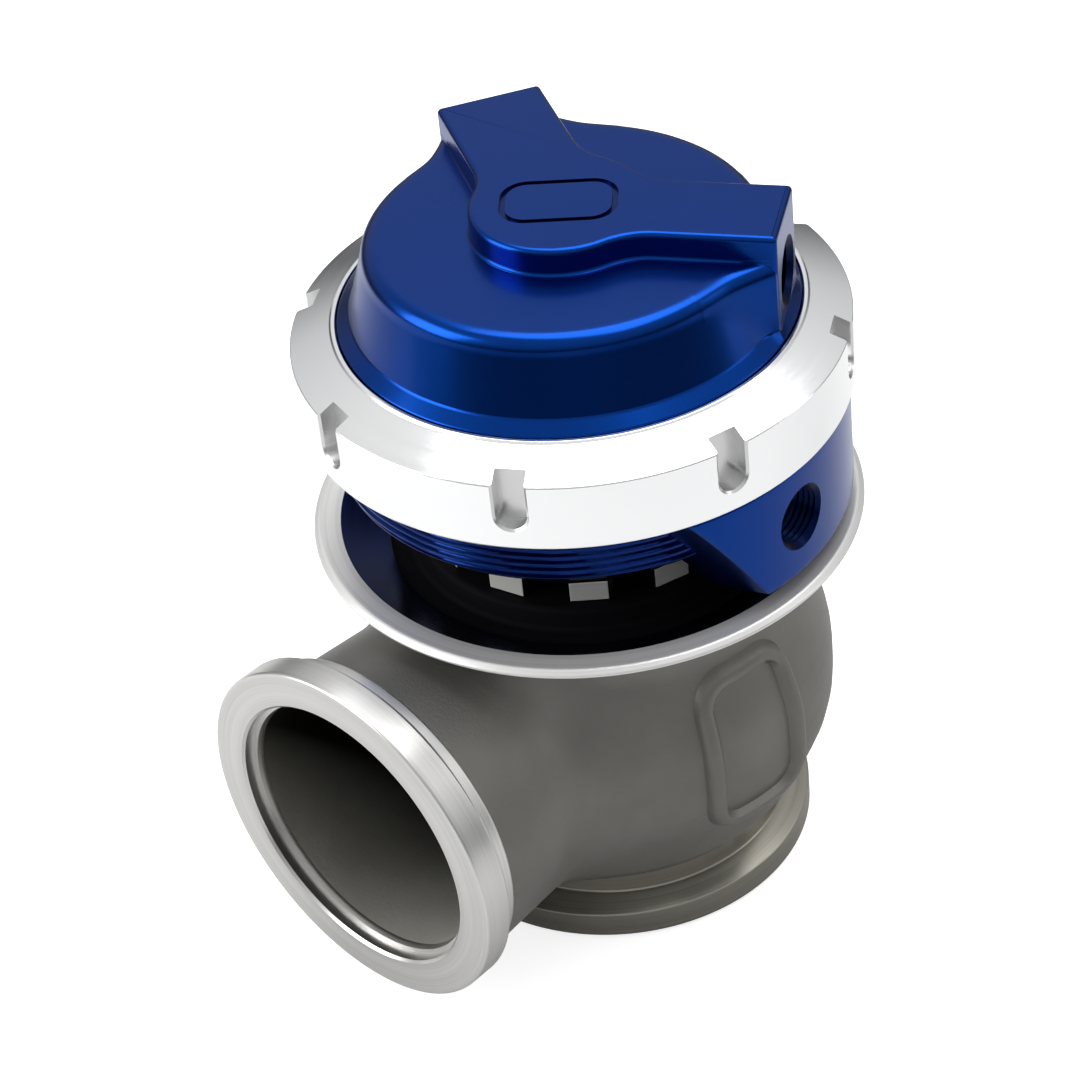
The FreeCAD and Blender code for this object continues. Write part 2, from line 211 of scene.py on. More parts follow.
back = Vector((math.sin(azimuth) * math.cos(elevation), -math.cos(azimuth) * math.cos(elevation),
               math.sin(elevation)))
level = (-back).cross(Vector((0, 0, 1))).normalized()
rise = level.cross(-back)
right = level * math.cos(roll) + rise * math.sin(roll)
up = -level * math.sin(roll) + rise * math.cos(roll)
place = target + back * distance_m

camera = bpy.data.objects.new("camera", bpy.data.cameras.new("camera"))
camera.data.sensor_width, camera.data.lens = 36.0, lens_mm
camera.data.clip_start, camera.data.clip_end = 0.01, 20.0
camera.matrix_world = Matrix((
    (right.x, up.x, back.x, place.x),
    (right.y, up.y, back.y, place.y),
    (right.z, up.z, back.z, place.z),
    (0, 0, 0, 1)))
bpy.context.scene.collection.objects.link(camera)
bpy.context.scene.camera = camera
print("camera %.0f mm lens at" % camera.data.lens, [round(x, 3) for x in camera.matrix_world.translation])

# %% [markdown]
# ## Studio
# Metal shows the room it stands in, so the room is built first: a wide soft box overhead, a softer one
# at the camera's left, a strip at the right for the long highlights, and a pale floor. The sky is white
# where the camera looks and falls off towards the horizon for reflections, which keeps the dark side of
# every turned wall dark, as it is in a real light tent.

# %% Sky, floor and lamps
def node(tree, kind, inputs=None, **settings):
    """Adds a node, makes its settings, then gives inputs a value or another node's output."""
    made = tree.nodes.new(kind)
    for label, value in settings.items():
        setattr(made, label, value)
    for label, value in (inputs or {}).items():
        if isinstance(value, bpy.types.NodeSocket):
            tree.links.new(value, made.inputs[label])
        else:
            made.inputs[label].default_value = value
    return made


def mixed(tree, share, a, b):
    """The colour a where share is 0, b where it is 1."""
    return node(tree, "ShaderNodeMix", {0: share, 6: a, 7: b}, data_type="RGBA").outputs[2]


studio = bpy.context.scene
studio.view_settings.view_transform = "Standard"

studio.world = bpy.data.worlds.new("sky")
studio.world.use_nodes = True
sky = studio.world.node_tree
sky.nodes.clear()
height = node(sky, "ShaderNodeSeparateXYZ", {0: node(sky, "ShaderNodeTexCoord").outputs["Generated"]})
falloff = node(sky, "ShaderNodeValToRGB", {0: height.outputs[2]})
stops = falloff.color_ramp.elements
stops[0].position, stops[0].color = 0.0, (0.10, 0.103, 0.108, 1)
stops[1].position, stops[1].color = 0.75, (0.78, 0.78, 0.78, 1)
stops.new(0.30).color = (0.58, 0.585, 0.59, 1)
seen = node(sky, "ShaderNodeLightPath").outputs["Is Camera Ray"]
glow = node(sky, "ShaderNodeBackground", {0: mixed(sky, seen, falloff.outputs[0], (1, 1, 1, 1))})
node(sky, "ShaderNodeOutputWorld", {0: glow.outputs[0]})


def soft_box(name, direction, away, wide, tall, watts):
    """An area lamp that looks at the middle of the object from a compass direction and height."""
    lamp = bpy.data.lights.new(name, "AREA")
    lamp.shape, lamp.size, lamp.size_y, lamp.energy = "RECTANGLE", wide, tall, watts
    obj = bpy.data.objects.new(name, lamp)
    toward = Vector(direction).normalized()
    obj.location = target + toward * away
    obj.rotation_euler = (-toward).to_track_quat("-Z", "Y").to_euler()
    studio.collection.objects.link(obj)


soft_box("overhead", (-0.05, 0.25, 1.0), 0.75, 0.70, 0.55, 5.2)
soft_box("left", right * -0.92 + up * 0.12 + back * 0.38, 0.75, 0.45, 0.55, 4.6)
soft_box("strip", right * 0.95 + up * 0.30 + back * 0.25, 0.70, 0.16, 0.60, 0.5)

floor_half, floor_z, floor_lift = 0.45, -0.0005, 0.75
mesh = bpy.data.meshes.new("floor")
mesh.from_pydata([(x * floor_half, y * floor_half, floor_z) for x, y in ((-1, -1), (1, -1), (1, 1), (-1, 1))],
                 [], [(0, 1, 2, 3)])
floor = bpy.data.objects.new("floor", mesh)
studio.collection.objects.link(floor)
paper = bpy.data.materials.new("paper")
paper.use_nodes = True
tree = paper.node_tree
tree.nodes.clear()
matt = node(tree, "ShaderNodeBsdfDiffuse", {0: (0.60, 0.60, 0.60, 1)})
seen = node(tree, "ShaderNodeLightPath").outputs["Is Camera Ray"]
lift = node(tree, "ShaderNodeMath", {0: seen, 1: floor_lift}, operation="MULTIPLY")
white = node(tree, "ShaderNodeEmission", {1: lift.outputs[0]})
both = node(tree, "ShaderNodeAddShader", {0: matt.outputs[0], 1: white.outputs[0]})
node(tree, "ShaderNodeOutputMaterial", {0: both.outputs[0]})
mesh.materials.append(paper)

# %% [markdown]
# ## Surface marks
# Three marks are shared by most of the finishes, so each is a node group that gives out only values:
# fine rings left by the lathe tool, the pimply skin of a bead-blasted casting, and the faint smears that
# keep a polished part from looking like plastic. Materials read Object coordinates, and since each piece
# lies in the frame, the valve axis is their Z.

# %% Groups for tool rings, cast skin and smears
def value_group(name, inputs, outputs):
    """An empty node group with named float ends; gives the tree, its inputs and Object coordinates."""
    tree = bpy.data.node_groups.new(name, "ShaderNodeTree")
    for labels, way in ((inputs, "INPUT"), (outputs, "OUTPUT")):
        for label in labels:
            tree.interface.new_socket(name=label, in_out=way, socket_type="NodeSocketFloat")
    return tree, node(tree, "NodeGroupInput").outputs, node(tree, "ShaderNodeTexCoord").outputs["Object"]


def maths(tree, operation, a, b=None, clamp=False):
    """What a maths node gives; a and b are sockets or numbers."""
    inputs = {0: a} if b is None else {0: a, 1: b}
    return node(tree, "ShaderNodeMath", inputs, operation=operation, use_clamp=clamp).outputs[0]


def noise(tree, vector, scale, detail, **more):
    inputs = {"Vector": vector, "Scale": scale, "Detail": detail, **more}
    return node(tree, "ShaderNodeTexNoise", inputs).outputs[0]


def tool_rings():
    """Rings about Z, or about the outlet axis: Height and Streak follow the radius and the height."""
    tree, given, where = value_group("tool_rings", ["Lines per mm", "Along outlet"], ["Height", "Streak"])
    x, y, z = node(tree, "ShaderNodeSeparateXYZ", {0: where}).outputs
    along = given["Along outlet"]
    off = maths(tree, "SUBTRACT", 1.0, along)

    def either(upright, lying):
        """One value on the valve axis, the other on the outlet's."""
        return maths(tree, "ADD", maths(tree, "MULTIPLY", upright, off), maths(tree, "MULTIPLY", lying, along))

    across, height = either(y, maths(tree, "SUBTRACT", z, outlet_z * MM)), either(z, y)
    square = maths(tree, "ADD", maths(tree, "MULTIPLY", x, x), maths(tree, "MULTIPLY", across, across))
    lines = maths(tree, "MULTIPLY", given["Lines per mm"], 1000.0)
    spread = node(tree, "ShaderNodeCombineXYZ", {
        0: maths(tree, "MULTIPLY", maths(tree, "SQRT", square), lines),
        1: maths(tree, "MULTIPLY", height, lines),
        2: maths(tree, "SINE", maths(tree, "ARCTAN2", across, x))}).outputs[0]
    fine, broad = noise(tree, spread, 1.0, 2.0), noise(tree, spread, 0.17, 1.0)
    streak = maths(tree, "ADD", maths(tree, "MULTIPLY", fine, 0.5), maths(tree, "MULTIPLY", broad, 0.5))
    node(tree, "NodeGroupOutput", {"Height": fine, "Streak": streak})
    return tree


def cast_skin():
    """Bead-blasted casting: Height is fine pimples on slow waves, Patch is a slow change of tone."""
    tree, given, where = value_group("cast_skin", ["Grain mm"], ["Height", "Patch"])
    grain = noise(tree, where, maths(tree, "DIVIDE", 1000.0, given["Grain mm"]), 3.0, Roughness=0.6)
    waves = maths(tree, "MULTIPLY", noise(tree, where, 130.0, 2.0), 0.35)
    node(tree, "NodeGroupOutput", {"Height": maths(tree, "ADD", grain, waves),
                                   "Patch": noise(tree, where, 38.0, 4.0)})
    return tree


def smears(size_mm=18.0):
    """Faint handling marks: Rough is a small change of roughness."""
    tree, given, where = value_group("smears", ["Amount"], ["Rough"])
    cloud = noise(tree, where, 1000.0 / size_mm, 5.0, Distortion=0.6)
    rough = maths(tree, "MULTIPLY", maths(tree, "SUBTRACT", cloud, 0.4), given["Amount"])
    node(tree, "NodeGroupOutput", {"Rough": rough})
    return tree


TOOL_RINGS, CAST_SKIN, SMEARS = tool_rings(), cast_skin(), smears()
print("groups:", [g.name for g in (TOOL_RINGS, CAST_SKIN, SMEARS)])

# %% [markdown]
# ## Finishes
# Each finish is one Principled material. What changes over its surface comes from the groups: rings on
# turned metal, skin on the casting, smears on anything that was handled. Constants such as the coat's
# roughness are set straight on the shader.

# %% A helper that builds one finish
def finish(name, colour, metallic, rough, *, coat=0.0, coat_rough=0.1, rings=None, outlet=False,
           ring_depth=0.004, skin=None, skin_depth=0.02, smear=0.04, dark=None, specular=0.5, painted_bore_shade=None):
    """A Principled material; rings is lines per mm, skin a grain size in mm, dark a second tone.

    painted_bore_shade is the colour of painted shade that takes over deeper inside the outlet, and sooner in
    the roof of the bore."""
    material = bpy.data.materials.new(name)
    material.use_nodes = True
    tree = material.node_tree
    shader = tree.nodes["Principled BSDF"].inputs
    shader["Base Color"].default_value = (*colour, 1)
    shader["Metallic"].default_value = metallic
    shader["Roughness"].default_value = rough
    shader["Coat Weight"].default_value = coat
    shader["Coat Roughness"].default_value = coat_rough
    shader["Specular IOR Level"].default_value = specular
    marks = node(tree, "ShaderNodeGroup", {"Amount": smear}, node_tree=SMEARS)
    roughness = maths(tree, "ADD", marks.outputs["Rough"], rough, clamp=True)
    height, depth, tone = None, 0.0, None
    if rings:
        turn = node(tree, "ShaderNodeGroup", {"Lines per mm": rings, "Along outlet": float(outlet)},
                    node_tree=TOOL_RINGS)
        height, depth, tone = turn.outputs["Height"], ring_depth, turn.outputs["Streak"]
        streak = maths(tree, "MULTIPLY", maths(tree, "SUBTRACT", tone, 0.5), 0.22)
        roughness = maths(tree, "ADD", roughness, streak, clamp=True)
    if skin:
        cast = node(tree, "ShaderNodeGroup", {"Grain mm": skin}, node_tree=CAST_SKIN)
        height, depth, tone = cast.outputs["Height"], skin_depth, cast.outputs["Patch"]
    if dark:
        share = node(tree, "ShaderNodeMapRange", {0: tone, 1: 0.35, 2: 0.65}).outputs[0]
        base = mixed(tree, share, (*dark, 1), (*colour, 1))
        # Painted shade: the bore's colour darkens deeper into the outlet and towards its roof, where less light
        # reaches.
        if painted_bore_shade:
            where = node(tree, "ShaderNodeTexCoord").outputs["Object"]
            _, y, z = node(tree, "ShaderNodeSeparateXYZ", {0: where}).outputs
            deep = node(tree, "ShaderNodeMapRange", {0: y, 1: -0.055, 2: -0.028}).outputs[0]
            high = node(tree, "ShaderNodeMapRange", {0: z, 1: 0.018, 2: 0.046}).outputs[0]
            base = mixed(tree, maths(tree, "ADD", deep, high, clamp=True), base, (*painted_bore_shade, 1))
        tree.links.new(base, shader["Base Color"])
    if height is not None:
        bump = node(tree, "ShaderNodeBump", {"Strength": 1.0, "Distance": depth * MM, "Height": height})
        tree.links.new(bump.outputs[0], shader["Normal"])
    tree.links.new(roughness, shader["Roughness"])
    return material

# %% The finishes of this wastegate
CAST = finish("cast stainless", (0.215, 0.212, 0.200), 0.85, 0.48, skin=0.45, skin_depth=0.045,
              dark=(0.165, 0.162, 0.150))
FLANGE = finish("machined flange", (0.66, 0.655, 0.64), 1.0, 0.32, rings=4.0, outlet=True,
                dark=(0.54, 0.535, 0.52))
INLET = finish("machined inlet", (0.36, 0.345, 0.305), 1.0, 0.32, rings=4.0, dark=(0.27, 0.255, 0.22))
# The cast bore carries painted shade, darker deeper in and towards its roof.
BORE = finish("cast bore", (0.62, 0.61, 0.56), 0.7, 0.45, skin=0.7, skin_depth=0.06, dark=(0.44, 0.43, 0.38),
              painted_bore_shade=(0.006, 0.006, 0.003), specular=0.2)
SEAT = finish("turned seat", (0.52, 0.51, 0.49), 1.0, 0.25, rings=5.0, dark=(0.42, 0.41, 0.39))
VALVE = finish("ground valve", (0.42, 0.41, 0.39), 1.0, 0.22, rings=6.0, dark=(0.34, 0.33, 0.31))
DISH = finish("brushed dish rim", (0.74, 0.735, 0.725), 0.55, 0.34, rings=3.0, dark=(0.62, 0.615, 0.605))
# Painted reflection and shade: the dish's cone is dark blue for the blue base it mirrors and for the shade
# under the collar.
DISH_CONE_PAINTED_REFLECTION = finish("dish cone, painted reflection and shade", (0.008, 0.024, 0.13), 1.0, 0.22, rings=2.0, ring_depth=0.002,
                   dark=(0.004, 0.014, 0.08))
# Painted shade: near black for the shade under the actuator, used on the dish's well and on the spacer.
DISH_WELL_PAINTED_SHADE = finish("dish well, painted shade", (0.003, 0.003, 0.004), 0.2, 0.7, specular=0.05)
TABS = finish("milled tabs", (0.80, 0.80, 0.74), 0.45, 0.34, rings=4.0)
BLUE = finish("blue anodised", (0.001, 0.034, 0.22), 1.0, 0.25, coat=0.06, smear=0.05)
BLUE_TURNED = finish("blue anodised, turned", (0.001, 0.018, 0.13), 1.0, 0.24, coat=0.1, coat_rough=0.12,
                     rings=3.0, ring_depth=0.003, dark=(0.001, 0.014, 0.10))
# Painted shade: a much darker copy of the blue anodise for the inside of the drilled ports.
BLUE_PORT_SHADE = finish("blue anodised, port, painted shade", (0.0004, 0.005, 0.035), 1.0, 0.36, coat=0.05)
POLISH = finish("polished collar", (0.94, 0.945, 0.95), 1.0, 0.17, rings=3.0, ring_depth=0.002, smear=0.06)
POCKET = finish("milled pocket", (0.66, 0.66, 0.66), 1.0, 0.30)
BRASS = finish("bearing bronze", (0.50, 0.30, 0.12), 1.0, 0.30, rings=4.0)
ZINC = finish("zinc plated", (0.50, 0.50, 0.49), 1.0, 0.32)
ALLOY = finish("plain aluminium", (0.60, 0.60, 0.60), 1.0, 0.32, rings=4.0)
SPRING = finish("shot-peened wire", (0.20, 0.20, 0.21), 0.9, 0.45, skin=0.3)
RUBBER = finish("diaphragm rubber", (0.02, 0.02, 0.02), 0.0, 0.60, skin=0.4)
GRAPHITE = finish("graphite", (0.05, 0.05, 0.05), 0.2, 0.55)
SHEET = finish("gasket sheet", (0.24, 0.22, 0.19), 0.0, 0.75, skin=0.5, skin_depth=0.03)
SLIP = finish("slip sheet", (0.72, 0.70, 0.64), 0.0, 0.45)
print("finishes:", len(bpy.data.materials))

# %% [markdown]
# ## Dressing the plain nodes
# Screws, bushes, seals and the parts inside the actuator are already right as CAD solids, so they keep
# their meshes and only get a finish. Every other piece below replaces its node by a finer one.

# %% A finish and a body for one piece
def dressed(obj, slot, *nodes):
    """Puts a finished piece on its body and hides the nodes that it stands for. slot is not used."""
    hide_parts(*nodes)
    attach(obj, frame["nodes"][nodes[0]]["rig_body"])
    return obj


for cad_node, material, slot in (
        ("base_screws", ZINC, "zinc_steel"), ("seal_retainer", ZINC, "zinc_steel"),
        ("stem_washer", ZINC, "zinc_steel"), ("stem_nut", ZINC, "zinc_steel"),
        ("stem_seal", RUBBER, "seal_rubber"), ("scraper_ring", GRAPHITE, "graphite"),
        ("base_gasket", SHEET, "gasket"), ("slip_ring", SLIP, "slip_plastic")):
    obj = frame["nodes"][cad_node]
    obj.data.materials.clear()
    obj.data.materials.append(material)

# %% [markdown]
# ## Solids joined and cut
# Ports, slots and the meeting of two castings are easiest as booleans, the way a milling cutter would
# make them. The manifold solver is quick and keeps each operand's finish, so a drilled hole can be bare
# metal in a painted face. Faces that meet at more than a small angle are then marked sharp, and weighted
# normals keep the broad flats flat.

# %% Joining, cutting and sharpening
def joined(obj, other, operation="UNION"):
    """Applies one boolean to obj and removes the other solid."""
    boolean = obj.modifiers.new("boolean", "BOOLEAN")
    boolean.operation, boolean.solver, boolean.object = operation, "MANIFOLD", other
    boolean.material_mode = "TRANSFER"
    baked(obj)
    bpy.data.objects.remove(other)


def milled(obj, *cutters):
    for cutter in cutters:
        joined(obj, cutter, "DIFFERENCE")


def sharpened(obj, degrees=32):
    """Marks sharp edges by angle and weights the normals by face area."""
    obj.data.polygons.foreach_set("use_smooth", [True] * len(obj.data.polygons))
    obj.data.set_sharp_from_angle(angle=math.radians(degrees))
    flats = obj.modifiers.new("flats", "WEIGHTED_NORMAL")
    flats.weight, flats.keep_sharp = 80, True
    return baked(obj)


def moved(obj, matrix):
    """Moves the mesh itself, so that the object stays at the origin."""
    obj.data.transform(matrix)
    return obj


def swung(obj, degrees):
    return moved(obj, Matrix.Rotation(math.radians(degrees), 4, "Z"))


def port_cutter(degrees, z, face_r, deep, drill_r, inner_r, thread_r=4.3, pitch=0.94):
    """A tapping drill's shape that points outwards: drilling, threaded bore and a broken mouth."""
    thread = []
    for k in range(int((deep - 1.2) / pitch)):
        h = face_r - deep + 0.5 + k * pitch
        thread += [(thread_r, h), (thread_r + 0.42, h + pitch * 0.45), (thread_r + 0.42, h + pitch * 0.55)]
    drilling = [(0, inner_r), (drill_r, inner_r), (drill_r, face_r - deep), (thread_r, face_r - deep)]
    mouth = [(thread_r, face_r - 0.9), (thread_r + 2.4, face_r + 1.5), (0, face_r + 1.5)]
    cutter = turned("port", drilling + thread + mouth, BLUE_PORT_SHADE, segments=72)
    swing = Matrix.Rotation(math.radians(degrees), 4, "Z") @ Matrix.Rotation(math.radians(90), 4, "Y")
    return moved(cutter, Matrix.Translation((0, 0, z * MM)) @ swing)


print("tools: join, mill, sharpen, move, swing and a port drill")

# %% [markdown]
# ## Seat, valve and guide
# These are plain lathe work, seen only through the outlet and from below. The valve head is a thick disc
# with a dished face that runs up in a long fillet to the stem, which is what keeps gas flow smooth.

# %% Turn the seat, the valve and its guide
dressed(turned("seat_ring", [
    (19.0, 0), (25.0, 0, 0.3), (25.0, 2.46, 0.3), (22.6, 2.46, 0.1), (22.6, 7.5, 0.4), (21.0, 7.5, 0.2),
    (19.0, 5.5, 0.3)], SEAT), "machined_stainless", "valve_seat")
dressed(turned("valve", [
    (0, 6.5), (12.0, 6.5, 3), (14.0, 5.9, 3), (19.34, 5.9, 0.2), (20.34, 6.9, 0.2), (20.34, 8.4, 0.5),
    (14.5, 10.2, 12), (4.0, 15.5, 14), (4.0, 74.0, 0.2), (3.0, 74.0), (3.0, 86.2, 0.5), (0, 86.2)],
    VALVE, segments=160), "valve_steel", "poppet_valve")
dressed(turned("guide_bush", [
    (4.05, 34.4, 0.6), (6.2, 34.4, 0.3), (7.0, 36.0, 0.5), (7.0, 57.4, 0.2), (4.05, 57.4, 0.4)],
    BRASS, segments=120), "bronze", "valve_guide")
dressed(turned("upper_bush", [
    (4.05, 62.7, 0.5), (7.47, 62.7, 0.4), (7.47, 68.4, 0.1), (4.05, 68.4, 0.3)], BRASS, segments=96),
    "bronze", "stem_bush")
print("lathe work: seat, valve, two bushes")

# %% [markdown]
# ## Cast body
# A casting has no hard line where the outlet tube leaves the bulb. Two turned solids are joined, remeshed
# to an even skin, and each point of the skin is then moved onto a smooth union of the two shapes, which
# rounds the crotch as a foundry pattern does. The machined flanges are joined afterwards, still crisp.

# %% Distance from a turned shape, and a smooth union
bulb_line = rounded([(0, 8.6), (27.3, 8.6), (27.4, 9.4, 0.6), (30.2, 12.4, 2.5), (35.7, 24.0, 20),
                     (35.7, 36.0, 24), (31.1, 50.5, 14), (30.3, 56.8), (0, 56.8)])
tube_line = rounded([(0, 4.0), (26.0, 4.0), (25.6, 18.0, 30), (24.0, 31.0, 30), (25.2, 49.8), (0, 49.8)])
tube_across, tube_down = 0.5, 0.8


def distance(points, line):
    """Signed distance, inside negative, of (radius, height) points from a closed outline."""
    a, b = line, np.roll(line, -1, axis=0)
    edge = b - a
    span = np.maximum((edge ** 2).sum(1), 1e-12)
    rel = points[:, None, :] - a[None]
    t = np.clip((rel * edge[None]).sum(2) / span, 0, 1)
    gap = np.sqrt(((rel - t[..., None] * edge[None]) ** 2).sum(2)).min(1)
    height = points[:, None, 1]
    crossed = (a[None, :, 1] > height) != (b[None, :, 1] > height)
    climb = np.where(edge[:, 1] == 0, 1, edge[:, 1])[None]
    across = a[None, :, 0] + (height - a[None, :, 1]) * edge[None, :, 0] / climb
    inside = ((crossed & (points[:, None, 0] < across)).sum(1) % 2).astype(bool)
    return np.where(inside, -gap, gap)


def casting_field(p, blend=6.0):
    """Smooth union of the bulb and the tube, in millimetres."""
    bulb = distance(np.stack([np.hypot(p[:, 0], p[:, 1]), p[:, 2]], axis=1), bulb_line)
    off_axis = np.hypot(p[:, 0] - tube_across, p[:, 2] - outlet_z + tube_down)
    tube = distance(np.stack([off_axis, -p[:, 1]], axis=1), tube_line)
    mix = np.clip(0.5 + 0.5 * (tube - bulb) / blend, 0, 1)
    return tube + (bulb - tube) * mix - blend * mix * (1 - mix)


print("field at the middle of the bulb: %.1f mm" % casting_field(np.array([[0.0, 10.0, 30.0]]))[0])

# %% Skin the casting
def casting_skin(voxel=0.62, rounds=4, probe=0.05):
    """Remeshes bulb and tube, then walks every point down the field's slope to its zero."""
    skin = turned("cast_body", bulb_line, CAST, segments=180)
    tube = turned("tube", tube_line, CAST, segments=180, outlet=True)
    joined(skin, moved(tube, Matrix.Translation((tube_across * MM, 0, -tube_down * MM))))
    even = skin.modifiers.new("even", "REMESH")
    even.mode, even.voxel_size = "VOXEL", voxel * MM
    baked(skin)
    at = np.zeros(len(skin.data.vertices) * 3)
    skin.data.vertices.foreach_get("co", at)
    at = at.reshape(-1, 3) / MM
    for _ in range(rounds):
        here = casting_field(at)
        slope = np.stack([(casting_field(at + step) - here) / probe for step in np.eye(3) * probe], axis=1)
        at -= (here / np.maximum((slope ** 2).sum(1), 0.2))[:, None] * slope
    skin.data.vertices.foreach_set("co", (at * MM).ravel())
    skin.data.update()
    return skin


body = casting_skin()
milled(body, turned("dish_room", [
    (0, 56.85), (30.4, 56.85), (37.9, 60.7), (60, 60.7), (60, 80), (0, 80)], CAST))
print("casting skin: %d faces" % len(body.data.polygons))

# %% [markdown]
# The bulb carries a plain raised border on the side that is seen, where a foundry puts its pad. It is
# one ridge with soft flanks, swept round a rounded rectangle and wrapped on the bulb.

# %% Sweep the raised border
pad_degrees, pad_z, pad_wide, pad_tall, pad_corner, bulb_r = -7.0, 34.5, 16.5, 26.0, 4.5, 35.7
pad_section = np.array([(-1.8, -1.5), (-1.8, -0.15), (-1.35, 0.6), (-0.95, 1.15), (-0.4, 1.4),
                        (0.4, 1.4), (0.95, 1.15), (1.35, 0.6), (1.8, -0.15), (1.8, -1.5)])


def raised_border(count=200):
    """The pad's section swept round an even walk along the rounded rectangle."""
    line = rounded_rectangle(pad_wide, pad_tall, pad_corner)
    line = np.concatenate([line, line[:1]])
    walk = np.concatenate([[0], np.cumsum(np.hypot(*np.diff(line, axis=0).T))])
    even = np.linspace(0, walk[-1], count, endpoint=False)
    u, v = np.interp(even, walk, line[:, 0]), np.interp(even, walk, line[:, 1])
    du, dv = np.roll(u, -1) - np.roll(u, 1), np.roll(v, -1) - np.roll(v, 1)
    size = np.hypot(du, dv)
    side = bulb_line[(bulb_line[:, 0] > 27.3) & (bulb_line[:, 1] > 9.0)]
    side = side[np.argsort(side[:, 1])]
    across, height = pad_section.T
    z = v[:, None] - (du / size)[:, None] * across + pad_z
    turn = math.radians(pad_degrees) + (u[:, None] + (dv / size)[:, None] * across) / bulb_r
    r = np.interp(z, side[:, 1], side[:, 0]) + height
    verts = np.stack([r * np.cos(turn), r * np.sin(turn), z], axis=-1).reshape(-1, 3)
    return piece("border", verts, ring_faces(count, len(pad_section)), CAST)


joined(body, raised_border())
print("with the border: %d faces" % len(body.data.polygons))

# %% Join the flanges and cut the inside
joined(body, turned("inlet_flange", [
    (0, 0), (31.0, 0, 0.4), (31.0, 4.4, 0.35), (27.4, 6.1, 0.4), (27.4, 9.6), (0, 9.6)], INLET, segments=300))
joined(body, turned("outlet_flange", [
    (0, 48.4), (26.2, 48.4, 0.5), (26.2, 50.4, 0.4), (28.0, 51.4, 0.3), (28.0, 56.0, 0.45), (0, 56.0)],
    FLANGE, segments=300, outlet=True))
joined(body, turned("top_hub", [(0, 56.0), (24.6, 56.0), (24.6, 60.05, 0.3), (0, 60.05)], CAST))
milled(body, turned("chamber", [
    (0, 7.6), (23.4, 7.6), (23.4, 10.0), (27.0, 13.0, 3), (31.6, 22.5, 18), (31.6, 35.0, 18),
    (27.4, 52.6, 5), (13.0, 52.6, 3), (10.0, 40.0, 4), (9.4, 36.4, 0.8), (0, 36.4)], BORE))
milled(body, turned("passage", [(0, 24.0), (21.1, 24.0), (21.1, 54.5), (0, 54.5)], BORE, outlet=True))
milled(body, turned("register", [
    (0, 52.0), (20.9, 52.0), (21.25, 53.4), (21.35, 53.8), (22.1, 53.8), (22.1, 55.6), (22.6, 56.1),
    (22.6, 57.0), (0, 57.0)], FLANGE, segments=300, outlet=True))
milled(body, turned("seat_recess", [
    (0, -1), (25.05, -1), (25.05, 2.5), (22.65, 2.5), (22.65, 8.0), (0, 8.0)], INLET))
milled(body, turned("guide_hole", [(0, 30), (7.02, 30), (7.02, 70), (0, 70)], BORE))
dressed(sharpened(body), "cast_stainless", "valve_body")
print("cast body: %d faces" % len(body.data.polygons))

# %% [markdown]
# ## Heat shield and spacer
# A thin polished dish keeps the exhaust's heat off the diaphragm. On its hub stands a castellated ring
# whose twelve tabs leave air gaps, so little heat passes. The tabs repeat, so one is modelled and a
# Geometry Nodes tree sets them round the circle.

# %% Turn the dish
rim_r, cone_r = 37.4, 30.3
shield = turned("heat_dish", [
    (5.2, 61.4, 0.2), (26.0, 61.4, 1.2), (27.0, 58.2, 1.0), (29.7, 58.2, 2.4), (37.3, 62.4, 0.4),
    (40.6, 62.6, 0.9), (41.5, 61.9, 0.5), (41.5, 61.5, 0.2), (37.7, 60.8, 2.0), (30.0, 56.9, 3.0),
    (25.4, 56.9, 0.5), (24.7, 60.1, 0.3), (5.2, 60.1, 0.2)], [DISH, DISH_CONE_PAINTED_REFLECTION, DISH_WELL_PAINTED_SHADE], segments=300)
# Faces that face down or lie past the rim keep the bright finish; upward faces under the collar get the painted
# reflection on the cone and the painted shade in the well.
for face in shield.data.polygons:
    middle = face.center / MM
    radius, upward = math.hypot(middle.x, middle.y), face.normal.z > -0.2
    face.material_index = 0 if not upward or radius > rim_r else (1 if radius > cone_r else 2)
dressed(sharpened(shield, 50), "polished_stainless", "heat_shield")
print("dish: %d faces" % len(shield.data.polygons))

